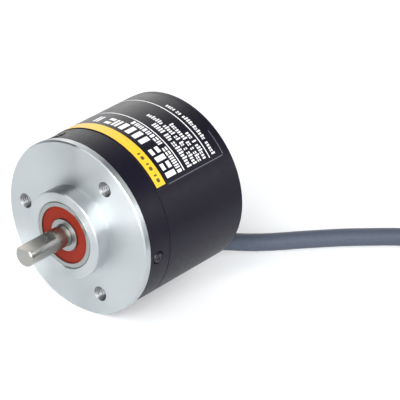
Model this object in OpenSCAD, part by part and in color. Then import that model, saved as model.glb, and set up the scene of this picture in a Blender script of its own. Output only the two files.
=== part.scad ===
// Incremental optical rotary encoder with a pre-wired cable, lying on its side.
// Millimetres. The origin is the centre of the mounting face, on the shaft's axis. The shaft
// points along -Y, the case along +Y, and +Z is up. Angles are measured from +Z towards +X.

/* [Flange and boss] */
// Diameter of the mounting flange
flange_d = 50; // [50:0.5:54]
// Thickness of the flange's rim
flange_t = 2; // [1.8:0.1:2.4]
// Diameter of the pilot boss
boss_d = 25; // [24:0.5:27]
// Height of the pilot boss
boss_h = 5; // [4.9:0.1:6]
// Pitch circle diameter of the three tapped mounting holes
hole_pcd = 38; // [37:0.5:39]
// Thread diameter of the mounting holes
hole_d = 4; // [3:0.5:4]
// Depth of the mounting holes
hole_depth = 6; // [5:0.5:7]
// Angle of the first mounting hole
hole_angle = 34.3; // [30:0.1:40]

/* [Case] */
// Diameter of the collar and the rear cover
case_d = 49.4; // [49:0.1:49.8]
// Distance from the mounting face to the rear face
case_len = 39.5; // [39:0.5:42]
// Wall thickness of the rear cover
wall = 1.5; // [1.3:0.1:1.6]
// Distance from the mounting face to the joint between the collar and the cover
joint_y = 10; // [9.5:0.1:10.5]
// Head diameter of the case screws
case_screw_head_d = 3.3; // [3:0.1:3.4]
// Distance from the mounting face to the case screws
case_screw_y = 5.2; // [5:0.1:5.4]

/* [Label] */
// Angle at which the label starts
label_from = -107; // [-120:1:-60]
// Angle at which the label ends
label_to = 55; // [40:1:60]
// Thickness of the label
label_t = 0.12; // [0.08:0.01:0.2]

/* [Shaft and bearings] */
// Diameter of the shaft
shaft_d = 6; // [5.9:0.01:6]
// Distance from the mounting face to the shaft's tip
shaft_reach = 20; // [15:1:30]
// Length of the flat on the shaft
flat_len = 10; // [5:1:10]
// Depth of the flat on the shaft
flat_depth = 1; // [0.5:0.1:1.2]
// Outer diameter of the ball bearings
bearing_d = 19; // [18.9:0.01:19]
// Width of the ball bearings
bearing_w = 6; // [5.9:0.01:6]
// Diameter of the balls
ball_d = 3.5; // [3.4:0.01:3.5]
// Number of balls in a bearing
ball_count = 7; // [6:1:8]

/* [Code disc] */
// Diameter of the code disc
disc_d = 33.6; // [33:0.1:33.8]
// Thickness of the code disc
disc_t = 0.3; // [0.2:0.05:0.3]
// Number of slots in the code disc's track
slot_count = 60; // [20:1:72]

/* [Cable] */
// Diameter of the cable
cable_d = 5; // [4.5:0.1:5]
// Angle of the cable outlet, seen along the shaft
outlet_angle = 154.3; // [150:0.1:160]
// Width of the slanted outlet facet
outlet_w = 14; // [12:0.5:15]
// Number of turns side by side in the cable's coil
coil_wide = 3; // [2:1:3]
// Number of layers of turns in the cable's coil
coil_high = 4; // [2:1:4]
// Radius of the coil's outermost turn, at the cable's centre
coil_r = 30; // [28:1:32]
// Direction in plan, from the coil's centre, at which the tie holds it
tie_angle = -90; // [-135:5:-45]

/* [Hidden] */
$fn = 96;

gap = 0.05;                     // between pieces of one body that touch
fit = 0.02;                     // of a hole round the piece it holds
eps = 0.5;                      // how far a cut runs past the surface it opens
third = 120;                    // the pitch of everything that comes in threes

// Flange housing: the boss, the flange, the spigot inside the collar and the bearing tube.
flange_r = flange_d / 2;
boss_r = boss_d / 2;
rim_chamfer = 0.3;
spigot_r = 22.2;
spigot_y = 9;
tube_r = 12;
o_ring_r = 0.48;
o_ring_groove = [0.9, 1.2];      // depth and width
o_ring_y = 7.6;
hole_r = hole_d / 2;
hole_sink = 0.4;

// Bearings: one behind the boss's face, one at the end of the bearing tube.
bearing_r = bearing_d / 2;
seat_r = bearing_r + gap;
front_y = -boss_h + 0.1;        // front face of the front bearing
rear_y = 7;                     // front face of the rear bearing
washer_h = 1.2;                 // room for the wave washer before the rear bearing
shoulder_r = 8.3;
tube_y = rear_y + bearing_w + 0.2;
bearing_bore_r = shaft_d / 2 + fit;
pitch_r = 6.25;
ball_r = ball_d / 2;
groove_r = ball_r + 0.05;
inner_land_r = 5.3;
outer_land_r = 7.2;
inner_step_r = 4.6;
outer_step_r = 8.2;
step_w = 0.95;
seal_t = 0.5;
seal_sink = 0.3;

// Shaft, and what turns with it.
shaft_r = shaft_d / 2;
shaft_end = 20.6;
tip_chamfer = 0.4;
coupled_r = shaft_r - 0.02;      // where the coupling slides on
relief = [-5.03, -4.4];         // grinding relief at the front bearing's seat, from and to
relief_r = 2.8;
clip_y = tube_y - 0.1;
clip_t = 0.6;
clip_r = 5.2;
clip_groove_r = 2.5;
hub_y = 14.2;
hub_r = 5.5;
hub_flange_r = 8;
hub_flange_t = 1.2;
disc_y = 18.8;
disc_r = disc_d / 2;
hub_nose_r = 4;
hub_nose_h = 1.5;
clamp_t = 1;
clamp_screw_r = 0.8;
clamp_screw_at = 6;
set_screw_r = 1.25;
set_screw_y = 15.8;
track_r = 15.5;
track_w = 1.4;
index_r = 13.6;

// Case.
case_r = case_d / 2;
collar_in_r = 23.5;
lip_out_r = collar_in_r - gap;
lip_in_r = spigot_r + 0.1;
lip_y = 3;
cover_in_r = case_r - wall;
edge_r = 0.5;
seam_chamfer = 0.15;
case_screw_angle = hole_angle + third / 2;
case_screw_r = 1.2;
case_screw_in = 18.6;
case_screw_proud = 0.35;
head_r = case_screw_head_d / 2;

// Light source, sensor and board.
led_r = 1.5;
led_flange_r = 1.9;
led_y = 13;
led_top = 18.2;
led_holder_top = 15.4;
led_holder_foot = 1.5;
led_screw_x = 6.8;
led_screw_z = 16.2;
lead_r = 0.25;
lead_x = 0.64;
lead_z = 19.6;
sensor_y = 19.9;
board_y = 23;
board_t = 1.6;
board_r = 22;
board_back = board_y + board_t;
standoff_r = 2.31;
standoff_at = 19.6;
standoff_angle = 64.3;
m25_r = 1.25;
connector = [6, 4.2, 9];
connector_at = [-8, board_back, -14];
chip_part = [2, 0.6, 1.25];
chip_parts = [                  // the x and z of each
    [-12, 3], [-12, 6], [-12, 9], [5.5, 0], [8.5, 0], [11.5, 0],
    [3, -5], [9, -6], [12, -6], [-3, 13], [2, 13]
];

// Cable outlet: a facet at 45 degrees to the axis, with a rubber bushing.
exit_r = 15.5;                  // distance of the bushing from the shaft's axis, on the facet
exit_y = 36;
bushing_len = 4;
bushing_neck_r = 3.2;
bushing_inner_r = 3.9;
bushing_outer_r = 4.4;
bushing_tip_r = 3.1;
cable_r = cable_d / 2;
jacket_in = 7.2;                // how far the cable's jacket reaches in behind the facet
slant = sin(45);
exit_dir = [sin(outlet_angle) * slant, slant, cos(outlet_angle) * slant];
exit_at = [sin(outlet_angle) * exit_r, exit_y, cos(outlet_angle) * exit_r];
side_dir = unit(cross(exit_dir, [0, 0, 1]));

// The cable's free route, from the bushing's tip to the coil, and the coil beside it.
table_z = -flange_r;
cable_z = table_z + cable_r;
coil_at = [115, 55];
coil_in_r = coil_r - (coil_wide - 1) * cable_d;
coil_top = table_z + coil_high * cable_d;
tie_t = 0.8;
tie_room = 0.25;                // between the tie and the coil's curved sides
tie_w = 5;
cable_sides = 10;
route = concat(
    [exit_at + bushing_len * exit_dir, exit_at + (bushing_len + 1) * exit_dir],
    [
        [9.3, 42.1, -18.4], [10.8, 45.5, -19.7], [12.6, 49, -20.7], [14.6, 52.4, -21.6],
        [16.8, 55.7, -22.2], [19.3, 58.8, -22.45], [21.9, 61.9, cable_z], [24.5, 65, cable_z],
        [27.2, 68, cable_z], [32.6, 73.9, cable_z], [38.5, 79.5, cable_z], [44.5, 84.8, cable_z],
        [50, 88.4, cable_z], [57, 91, cable_z], [65, 92, cable_z], [74, 91.5, cable_z],
        [84, 89.7, cable_z], [94, 87.3, cable_z], [104, 85.5, cable_z],
        [coil_at.x, coil_at.y + coil_r, cable_z]
    ]
);
core_r = 0.45;
core_pitch = 1.02;
core_count = 5;
end_core_len = 34;

// ---- Helpers ----

// Turns a profile of [radius, y] points about the shaft's axis.
module turned(profile, angle = 360) rotate([-90, 0, 0]) rotate_extrude(angle = angle) polygon(profile);

// A ring about the shaft's axis.
module ring(y0, y1, r_out, r_in) turned([[r_in, y0], [r_out, y0], [r_out, y1], [r_in, y1]]);

// A rod along +Y from [0, y0, 0].
module rod(y0, y1, r) translate([0, y0, 0]) rotate([-90, 0, 0]) cylinder(h = y1 - y0, r = r);

// Puts children at an angle about the axis and a distance from it, with local +Z outwards.
module at(angle, r = 0) rotate([0, angle, 0]) translate([0, 0, r]) children();

// Repeats children three times about the axis.
module threes(angle, r = 0) for (i = [0:2]) at(angle + i * third, r) children();

// Puts children on the outlet's facet, with local +Z along the cable.
module on_outlet(lift = 0)
    at(outlet_angle) translate([0, exit_y, exit_r]) rotate([-45, 0, 0]) translate([0, 0, lift]) children();

// Points on an arc of a profile.
function arc(centre, r, a0, a1, steps = 5) =
    [for (i = [0:steps]) centre + r * [cos(a0 + (a1 - a0) * i / steps), sin(a0 + (a1 - a0) * i / steps)]];

function unit(v) = v / norm(v);

// The direction of a path at point i.
function heading(path, i) =
    unit(path[min(i + 1, len(path) - 1)] - path[max(i - 1, 0)]);

// One ring of a swept tube, square to its path.
function tube_ring(centre, dir, r, sides) =
    let (u = unit(cross(dir, [0.05, 0.02, 1])), v = cross(u, dir))
    [for (k = [0:sides - 1]) centre + r * (cos(360 * k / sides) * u + sin(360 * k / sides) * v)];

// A round tube swept along a path, closed at both ends.
module swept(path, r, sides) {
    n = len(path);
    points = [for (i = [0:n - 1]) each tube_ring(path[i], heading(path, i), r, sides)];
    skin = [
        for (i = [0:n - 2], k = [0:sides - 1])
            let (a = i * sides + k, b = i * sides + (k + 1) % sides)
            each [[a, a + sides, b], [b, a + sides, b + sides]]
    ];
    start = [for (k = [0:sides - 1]) k];
    finish = [for (k = [sides - 1:-1:0]) (n - 1) * sides + k];
    polyhedron(points = points, faces = concat(skin, [start, finish]));
}

// A point on a cubic curve between p[0] and p[3].
function curve_point(p, t) =
    pow(1 - t, 3) * p[0] + 3 * t * pow(1 - t, 2) * p[1] + 3 * t * t * (1 - t) * p[2] + pow(t, 3) * p[3];

// A pan-head screw: the head sits at z = 0 and above, the shank runs down, with a cross recess.
module pan_screw(head_r, head_h, shank_r, shank_len) {
    recess_w = head_r * 0.28;
    difference() {
        union() {
            rotate_extrude() polygon(concat(
                [[0, 0], [head_r, 0], [head_r, head_h * 0.45]],
                arc([head_r - head_h * 0.5, head_h * 0.5], head_h * 0.5, 0, 90),
                [[0, head_h]]
            ));
            translate([0, 0, -shank_len]) cylinder(h = shank_len + head_h / 2, r = shank_r);
        }
        for (a = [0, 90]) rotate(a)
            translate([-head_r * 0.55, -recess_w / 2, head_h * 0.4])
                cube([head_r * 1.1, recess_w, head_h]);
    }
}

// ---- Case and flange ----

module flange_housing() color("silver") difference() {
    turned([
        [seat_r, front_y + bearing_w], [seat_r, -boss_h + 0.2], [seat_r + 0.2, -boss_h],
        [boss_r - 0.3, -boss_h], [boss_r, -boss_h + 0.3], [boss_r, 0],
        [flange_r - rim_chamfer, 0], [flange_r, rim_chamfer], [flange_r, flange_t],
        [spigot_r, flange_t], [spigot_r, o_ring_y - o_ring_groove.y / 2],
        [spigot_r - o_ring_groove.x, o_ring_y - o_ring_groove.y / 2],
        [spigot_r - o_ring_groove.x, o_ring_y + o_ring_groove.y / 2],
        [spigot_r, o_ring_y + o_ring_groove.y / 2], [spigot_r, spigot_y],
        [tube_r, spigot_y], [tube_r, tube_y - 0.3], [tube_r - 0.3, tube_y],
        [seat_r, tube_y], [seat_r, rear_y - washer_h], [shoulder_r, rear_y - washer_h],
        [shoulder_r, front_y + bearing_w]
    ]);
    threes(hole_angle, hole_pcd / 2) {
        rod(-eps, hole_depth, hole_r);
        rotate([-90, 0, 0]) cylinder(h = hole_sink, r1 = hole_r + hole_sink, r2 = hole_r);
    }
    threes(case_screw_angle, case_screw_in) translate([0, case_screw_y, 0])
        cylinder(h = 6, r = case_screw_r + fit);
    threes(standoff_angle, standoff_at) rod(spigot_y - 4.1, spigot_y + eps, m25_r + fit);
    for (x = [-led_screw_x, led_screw_x])
        translate([x, 0, led_screw_z]) rod(spigot_y - 3.6, spigot_y + eps, 1 + fit);
}

module front_collar() color([0.11, 0.1, 0.14]) difference() {
    turned([
        [collar_in_r, flange_t + gap], [case_r - seam_chamfer, flange_t + gap],
        [case_r, flange_t + gap + seam_chamfer], [case_r, joint_y - gap - seam_chamfer],
        [case_r - seam_chamfer, joint_y - gap], [collar_in_r, joint_y - gap]
    ]);
    threes(case_screw_angle, collar_in_r - eps) translate([0, case_screw_y, 0])
        cylinder(h = 3, r = head_r + 0.2);
}

// A block over the outlet's facet; with grow it is the facet's wall, seen from inside.
module outlet_block(grow = 0)
    on_outlet(-grow) translate([-outlet_w / 2 - grow, -30, 0]) cube([outlet_w + 2 * grow, 60, 30]);

module rear_cover() color([0.19, 0.18, 0.22]) {
    back_in = case_len - wall - 0.1;
    panel_r = 19;
    difference() {
        turned(concat(
            [[0, lip_y], [lip_out_r, lip_y], [lip_out_r, joint_y], [case_r - seam_chamfer, joint_y],
             [case_r, joint_y + seam_chamfer]],
            arc([case_r - edge_r, case_len - edge_r], edge_r, 0, 90),
            [[panel_r + 0.3, case_len], [panel_r, case_len - 0.3], [0, case_len - 0.3]]
        ));
        outlet_block();
        difference() {
            turned([
                [0, lip_y - eps], [lip_in_r, lip_y - eps], [lip_in_r, joint_y + 1],
                [cover_in_r, joint_y + 2], [cover_in_r, back_in], [0, back_in]
            ]);
            outlet_block(wall + 0.1);
        }
        on_outlet(-wall - 2) cylinder(h = wall + 4, r = bushing_neck_r + fit);
        threes(case_screw_angle, lip_in_r - 1) translate([0, case_screw_y, 0])
            cylinder(h = 2.5, r = case_screw_r + 0.15);
    }
}

module cover_o_ring() color([0.05, 0.05, 0.05])
    rotate([-90, 0, 0]) translate([0, 0, o_ring_y]) rotate_extrude()
        translate([spigot_r - o_ring_groove.x + fit + o_ring_r, 0]) circle(r = o_ring_r, $fn = 32);

module case_screws() color([0.1, 0.1, 0.12])
    threes(case_screw_angle, lip_out_r + gap) translate([0, case_screw_y, 0]) rotate(20)
        pan_screw(head_r, case_r + case_screw_proud - lip_out_r - gap, case_screw_r,
            lip_out_r - case_screw_in - 0.2);

module label() color([0.09, 0.09, 0.12])
    rotate([0, label_from - 90, 0])
        turned([[case_r, joint_y + 0.3], [case_r + label_t, joint_y + 0.3],
                [case_r + label_t, case_len - 2.4], [case_r, case_len - 2.4]], label_to - label_from);

// ---- Shaft and bearings ----

module shaft() color([0.75, 0.76, 0.78]) difference() {
    turned([
        [0, -shaft_reach], [coupled_r - tip_chamfer, -shaft_reach], [coupled_r, -shaft_reach + tip_chamfer],
        [coupled_r, -shaft_reach + flat_len], [shaft_r, -shaft_reach + flat_len],
        [shaft_r, relief[0]], [relief_r, relief[0]], [relief_r, relief[1]], [shaft_r, relief[1]],
        [shaft_r, clip_y], [clip_groove_r, clip_y], [clip_groove_r, clip_y + clip_t + 2 * gap],
        [shaft_r, clip_y + clip_t + 2 * gap], [shaft_r, shaft_end - 0.3],
        [shaft_r - 0.3, shaft_end], [0, shaft_end]
    ]);
    translate([-shaft_r - eps, -shaft_reach - eps, shaft_r - flat_depth])
        cube([shaft_d + 2 * eps, flat_len + eps, shaft_r]);
}

module bearing_spacer() color("silver")
    ring(front_y + bearing_w + gap, rear_y - gap, 4.3, bearing_bore_r);

module retaining_clip() color([0.25, 0.25, 0.27]) difference() {
    ring(clip_y + gap, clip_y + gap + clip_t, clip_r, clip_groove_r + fit);
    translate([-1.6, clip_y - eps, -clip_r - eps]) cube([3.2, clip_t + 2 * eps, clip_r]);
    for (side = [-1, 1]) at(side * 60, 5.6) rod(clip_y - eps, clip_y + clip_t + eps, 1.6);
}

// A three-wave spring washer between the housing's shoulder and the rear bearing.
module preload_washer() color([0.5, 0.52, 0.55]) {
    n = 72;
    half_t = 0.15;
    mid = rear_y - washer_h / 2;
    swing = washer_h / 2 - half_t - gap;
    points = [
        for (i = [0:n - 1]) let (a = 360 * i / n, y = mid + swing * sin(3 * a))
            each [for (c = [[7.4, -half_t], [9.2, -half_t], [9.2, half_t], [7.4, half_t]])
                [c.x * sin(a), y + c.y, c.x * cos(a)]]
    ];
    faces = [
        for (i = [0:n - 1], k = [0:3])
            let (a = i * 4 + k, b = i * 4 + (k + 1) % 4, c = ((i + 1) % n) * 4)
            each [[a, b, c + k], [b, c + (k + 1) % 4, c + k]]
    ];
    polyhedron(points = points, faces = faces);
}

// The torus that the balls run in, and the balls of a bearing whose front face is at y.
module ball_path(y) rotate([-90, 0, 0]) translate([0, 0, y + bearing_w / 2]) rotate_extrude()
    translate([pitch_r, 0]) circle(r = groove_r, $fn = 48);
module each_ball(y) for (i = [0:ball_count - 1])
    at(360 * i / ball_count, pitch_r) translate([0, y + bearing_w / 2, 0]) children();

module outer_ring(y) color([0.7, 0.71, 0.72]) difference() {
    turned([
        [outer_step_r, y], [bearing_r - 0.25, y], [bearing_r, y + 0.25],
        [bearing_r, y + bearing_w - 0.25], [bearing_r - 0.25, y + bearing_w],
        [outer_step_r, y + bearing_w], [outer_step_r, y + bearing_w - step_w],
        [outer_land_r, y + bearing_w - step_w], [outer_land_r, y + step_w], [outer_step_r, y + step_w]
    ]);
    ball_path(y);
}

module inner_ring(y) color([0.78, 0.79, 0.8]) difference() {
    turned([
        [bearing_bore_r + 0.2, y], [inner_step_r - 0.15, y], [inner_step_r, y + 0.15],
        [inner_step_r, y + step_w], [inner_land_r, y + step_w],
        [inner_land_r, y + bearing_w - step_w], [inner_step_r, y + bearing_w - step_w],
        [inner_step_r, y + bearing_w - 0.15], [inner_step_r - 0.15, y + bearing_w],
        [bearing_bore_r + 0.2, y + bearing_w], [bearing_bore_r, y + bearing_w - 0.2],
        [bearing_bore_r, y + 0.2]
    ]);
    ball_path(y);
}

module balls(y) color([0.85, 0.86, 0.88]) each_ball(y) sphere(r = ball_r, $fn = 48);

// A crown cage: a ring with a ball pocket open to the front at each ball.
module cage(y) color([0.75, 0.68, 0.45]) difference() {
    ring(y + bearing_w / 2 - 0.9, y + bearing_w / 2 + 2, pitch_r + 0.6, pitch_r - 0.6);
    each_ball(y) sphere(r = ball_r + 0.07, $fn = 48);
}

module seals(y) color([0.56, 0.2, 0.14])
    for (s = [y + seal_sink, y + bearing_w - seal_sink - seal_t]) turned([
        [inner_step_r + 0.12, s + 0.1], [inner_step_r + 0.5, s], [outer_step_r - 0.4, s],
        [outer_step_r - fit, s + 0.1], [outer_step_r - fit, s + seal_t - 0.1],
        [outer_step_r - 0.4, s + seal_t], [inner_step_r + 0.5, s + seal_t],
        [inner_step_r + 0.12, s + seal_t - 0.1]
    ]);

module front_outer_ring() outer_ring(front_y);
module front_inner_ring() inner_ring(front_y);
module front_balls() balls(front_y);
module front_cage() cage(front_y);
module front_seals() seals(front_y);
module rear_outer_ring() outer_ring(rear_y);
module rear_inner_ring() inner_ring(rear_y);
module rear_balls() balls(rear_y);
module rear_cage() cage(rear_y);
module rear_seals() seals(rear_y);

// ---- Code disc and its hub ----

module disc_hub() color([0.8, 0.66, 0.35]) difference() {
    turned([
        [shaft_r + fit, hub_y], [hub_r, hub_y], [hub_r, disc_y - hub_flange_t],
        [hub_flange_r, disc_y - hub_flange_t], [hub_flange_r, disc_y], [hub_nose_r, disc_y],
        [hub_nose_r, disc_y + hub_nose_h], [shaft_r + fit, disc_y + hub_nose_h]
    ]);
    at(0, shaft_r - eps) translate([0, set_screw_y, 0]) cylinder(h = 4, r = set_screw_r + fit);
    threes(30, clamp_screw_at) rod(disc_y - hub_flange_t - eps, disc_y + eps, clamp_screw_r + fit);
}

module hub_set_screw() color([0.15, 0.15, 0.17]) difference() {
    at(0, shaft_r + fit) translate([0, set_screw_y, 0]) cylinder(h = 2.3, r = set_screw_r);
    at(0, shaft_r + 1) translate([0, set_screw_y, 0]) cylinder(h = 2.3, r = 0.7, $fn = 6);
}

module code_disc() color([0.6, 0.62, 0.66]) difference() {
    ring(disc_y, disc_y + disc_t, disc_r, hub_nose_r + fit);
    slot_w = PI * track_r / slot_count;
    for (i = [0:slot_count - 1]) at(360 * i / slot_count, track_r - track_w / 2)
        translate([-slot_w / 2, disc_y - eps, 0]) cube([slot_w, disc_t + 2 * eps, track_w]);
    at(0, index_r - track_w / 4) translate([-slot_w / 2, disc_y - eps, 0])
        cube([slot_w, disc_t + 2 * eps, track_w / 2]);
    threes(30, clamp_screw_at) rod(disc_y - eps, disc_y + disc_t + eps, clamp_screw_r + fit);
}

module disc_clamp_ring() color([0.8, 0.66, 0.35]) difference() {
    ring(disc_y + disc_t, disc_y + disc_t + clamp_t, hub_flange_r, hub_nose_r + 0.1);
    threes(30, clamp_screw_at) rod(disc_y, disc_y + disc_t + clamp_t + eps, clamp_screw_r + fit);
}

module disc_clamp_screws() color([0.7, 0.7, 0.72])
    threes(30, clamp_screw_at) translate([0, disc_y + disc_t + clamp_t + 0.01, 0])
        rotate([-90, 0, 0]) pan_screw(1.4, 0.85, clamp_screw_r, clamp_t + disc_t + 1);

// ---- Light source and sensor ----

module led_holder() color([0.12, 0.12, 0.13]) difference() {
    union() {
        translate([-4.2, spigot_y, 14]) cube([8.4, led_holder_top - spigot_y, 4.6]);
        translate([-8.6, spigot_y, 14.2]) cube([17.2, led_holder_foot, 4]);
    }
    at(0, track_r) {
        rod(spigot_y - eps, led_y + 1, led_flange_r + fit);
        rod(led_y, led_holder_top + eps, led_r + fit);
    }
    translate([-1.2, spigot_y - eps, track_r]) cube([2.4, 2.4, 5]);
    for (x = [-led_screw_x, led_screw_x])
        translate([x, 0, led_screw_z]) rod(spigot_y - eps, spigot_y + led_holder_foot + eps, 1.1);
}

module led_holder_screws() color([0.7, 0.7, 0.72])
    for (x = [-led_screw_x, led_screw_x])
        translate([x, spigot_y + led_holder_foot + 0.01, led_screw_z]) rotate([-90, 0, 0])
            pan_screw(1.7, 1.2, 1, led_holder_foot + 3.4);

module led_emitter() color([0.85, 0.88, 0.95, 0.8]) at(0, track_r) {
    difference() {
        union() {
            rod(led_y, led_y + 1, led_flange_r);
            rod(led_y, led_top - led_r, led_r);
            translate([0, led_top - led_r, 0]) sphere(r = led_r, $fn = 48);
        }
        translate([-3, led_y - eps, led_r + 0.1]) cube([6, 1 + eps, 1]);
    }
}

// The light source's two leads, from its base out to the rim and on to the board.
module led_leads() color([0.8, 0.8, 0.82]) for (x = [-lead_x, lead_x]) translate([x, 0, 0]) {
    turn_y = spigot_y + 1.2;
    at(0, track_r) rod(turn_y, led_y, lead_r);
    translate([0, turn_y, track_r]) cylinder(h = lead_z - track_r, r = lead_r);
    at(0, lead_z) rod(turn_y, board_back + 0.6, lead_r);
    for (z = [track_r, lead_z]) translate([0, turn_y, z]) sphere(r = lead_r, $fn = 24);
    at(0, lead_z) rod(board_back, board_back + 0.4, lead_r * 2.2);
}

module photosensor() color([0.14, 0.14, 0.16]) {
    difference() {
        translate([-3.5, sensor_y, 12.6]) cube([7, board_y - sensor_y, 5.8]);
        translate([-2.2, sensor_y - eps, 13.8]) cube([4.4, eps + 0.2, 3.4]);
    }
    for (i = [0:3], side = [-1, 1]) translate([side * 3.9 - 0.4, board_y - 0.5, 13.2 + i * 1.4])
        cube([0.8, 0.48, 0.5]);
}

module slit_plate() color([0.5, 0.52, 0.56]) difference() {
    translate([-2.9, sensor_y - 0.45, 12.9]) cube([5.8, 0.44, 5.2]);
    for (i = [-2:2]) at(i * 3, track_r - 0.8)
        translate([-0.2, sensor_y - 1, 0]) cube([0.4, 2, 1.6]);
}

// ---- Board ----

module main_board() color([0.1, 0.4, 0.22]) difference() {
    rod(board_y, board_back, board_r);
    threes(standoff_angle, standoff_at) rod(board_y - eps, board_back + eps, m25_r + 0.1);
    for (x = [-lead_x, lead_x])
        translate([x, 0, lead_z]) rod(board_y - eps, board_back + eps, lead_r + fit);
    for (side = [-1, 1]) at(side * 90) translate([-3, board_y - eps, board_r - 0.8])
        cube([6, board_t + 2 * eps, 2]);
}

// A flat package with gull-wing pins along two sides.
module board_chip() color([0.1, 0.1, 0.11]) translate([-6, board_back, 5]) {
    translate([0, 0.15, 0]) cube([8.7, 1.5, 3.9]);
    for (i = [0:6], z = [-1.1, 3.9]) translate([0.45 + i * 1.27, 0.02, z]) cube([0.42, 0.75, 1.1]);
}

module board_capacitor() color([0.72, 0.73, 0.75]) translate([9.5, board_back, 6.5]) {
    translate([-2.6, 0.02, -2.6]) cube([5.2, 0.8, 5.2]);
    rod(0.8, 5.6, 2.5);
}

// Small two-ended resistors and capacitors: [x, z] of each, on the board's back.
module board_chip_parts() color([0.55, 0.48, 0.38])
    for (p = chip_parts) translate([p.x, board_back + fit, p.y]) cube(chip_part);

module wire_connector() color([0.93, 0.92, 0.88]) difference() {
    translate(connector_at) translate([0, 0.02, 0]) cube(connector);
    for (i = [0:core_count - 1]) translate(core_socket(i) - [1.5, 0, 0]) rotate([0, 90, 0])
        cylinder(h = 3, r = core_r + 0.05, $fn = 24);
}

module board_standoffs() color([0.82, 0.7, 0.4]) threes(standoff_angle, standoff_at) difference() {
    union() {
        translate([0, spigot_y, 0]) rotate([-90, 0, 0])
            cylinder(h = board_y - spigot_y, r = standoff_r, $fn = 6);
        rod(spigot_y - 4, spigot_y + 1, m25_r);
    }
    rod(board_y - 6, board_y + eps, m25_r);
}

module board_screws() color([0.7, 0.7, 0.72])
    threes(standoff_angle, standoff_at) translate([0, board_back + 0.01, 0]) rotate([-90, 0, 0])
        pan_screw(2.2, 1.6, m25_r - fit, board_t + 5);

// ---- Cable outlet, cable and coil ----

module cable_bushing() color([0.13, 0.13, 0.15]) on_outlet() rotate_extrude() polygon([
    [cable_r + fit, -wall - 1.6], [bushing_inner_r, -wall - 1.6], [bushing_inner_r, -wall - 0.15],
    [bushing_neck_r, -wall - 0.15], [bushing_neck_r, 0.02], [bushing_outer_r, 0.02],
    [bushing_outer_r, 0.8], [bushing_outer_r - 0.4, 1.1], [bushing_tip_r, bushing_len],
    [cable_r + fit, bushing_len]
]);

module cable_ferrule() color([0.75, 0.76, 0.78]) on_outlet(-wall - 4.8) difference() {
    cylinder(h = 3, r = cable_r + 0.7);
    translate([0, 0, -eps]) cylinder(h = 3 + 2 * eps, r = cable_r + fit);
}

module cable_jacket_end() color([0.36, 0.39, 0.45])
    on_outlet(-jacket_in) cylinder(h = jacket_in + bushing_len, r = cable_r);

// Where core i leaves the jacket inside the case, and where it enters the connector.
function core_start(i) =
    exit_at - (jacket_in + 0.02) * exit_dir + (i - 2) * core_pitch * cross(side_dir, exit_dir);
function core_socket(i) = [connector_at.x + connector.x, board_back + 2.2, connector_at.z + 1.5 + 1.5 * i];

module inner_cores() color([0.8, 0.4, 0.2]) for (i = [0:core_count - 1]) {
    bend = [
        core_start(i), core_start(i) - 4.5 * exit_dir,
        core_socket(i) + [4.5, 0, 0], core_socket(i) - [0.8, 0, 0]
    ];
    swept([for (k = [0:12]) curve_point(bend, k / 12)], core_r, 8);
}

module cable_tube() color([0.36, 0.39, 0.45]) swept(route, cable_r, cable_sides);

// A rectangle round the coil's bundle of turns, r wider on each side.
module around_bundle(low, high, r)
    translate([coil_in_r - cable_r - r, low]) square([coil_r - coil_in_r + cable_d + 2 * r, high - low]);

module cable_coil() color([0.36, 0.39, 0.45])
    translate([coil_at.x, coil_at.y, 0]) rotate(tie_angle) difference() {
    rotate_extrude() union() {
        corner = cable_r;
        for (x = [coil_in_r, coil_r], z = [table_z + corner, coil_top - corner])
            translate([x, z]) circle(r = corner, $fn = 32);
        translate([coil_in_r, table_z]) square([coil_r - coil_in_r, coil_top - table_z]);
        translate([coil_in_r - corner, table_z + corner])
            square([coil_r - coil_in_r + cable_d, coil_top - table_z - cable_d]);
    }
    translate([coil_in_r - cable_d, -tie_w / 2 - gap, table_z - eps])
        cube([coil_r - coil_in_r + 2 * cable_d, tie_w + 2 * gap, tie_t + eps + gap]);
}

module coil_tie() color([0.1, 0.1, 0.11]) translate([coil_at.x, coil_at.y, 0])
    rotate([90, 0, tie_angle]) translate([0, 0, -tie_w / 2]) linear_extrude(tie_w) difference() {
        around_bundle(table_z, coil_top + 2 * tie_t, tie_t + tie_room);
        around_bundle(table_z + tie_t, coil_top + tie_t, tie_room);
    }

// The stripped cores at the cable's far end, lying across the coil's top.
module cable_end_cores() color([0.8, 0.4, 0.2]) for (i = [0:core_count - 1])
    translate([coil_at.x - coil_in_r - 2 + i * 1.5, coil_at.y - 14, coil_top + core_r + 0.02])
        rotate([-90, 0, (i - 2) * -5]) cylinder(h = end_core_len, r = core_r, $fn = 24);

flange_housing();
front_collar();
rear_cover();
cover_o_ring();
case_screws();
label();
shaft();
bearing_spacer();
retaining_clip();
preload_washer();
front_outer_ring();
front_inner_ring();
front_balls();
front_cage();
front_seals();
rear_outer_ring();
rear_inner_ring();
rear_balls();
rear_cage();
rear_seals();
disc_hub();
hub_set_screw();
code_disc();
disc_clamp_ring();
disc_clamp_screws();
led_holder();
led_holder_screws();
led_emitter();
led_leads();
photosensor();
slit_plate();
main_board();
board_chip();
board_capacitor();
board_chip_parts();
wire_connector();
board_standoffs();
board_screws();
cable_bushing();
cable_ferrule();
inner_cores();
cable_jacket_end();
cable_tube();
cable_coil();
coil_tie();
cable_end_cores();
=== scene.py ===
import math
import random
from itertools import product

import bmesh
import bpy
from mathutils import Euler, Matrix, Vector


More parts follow.
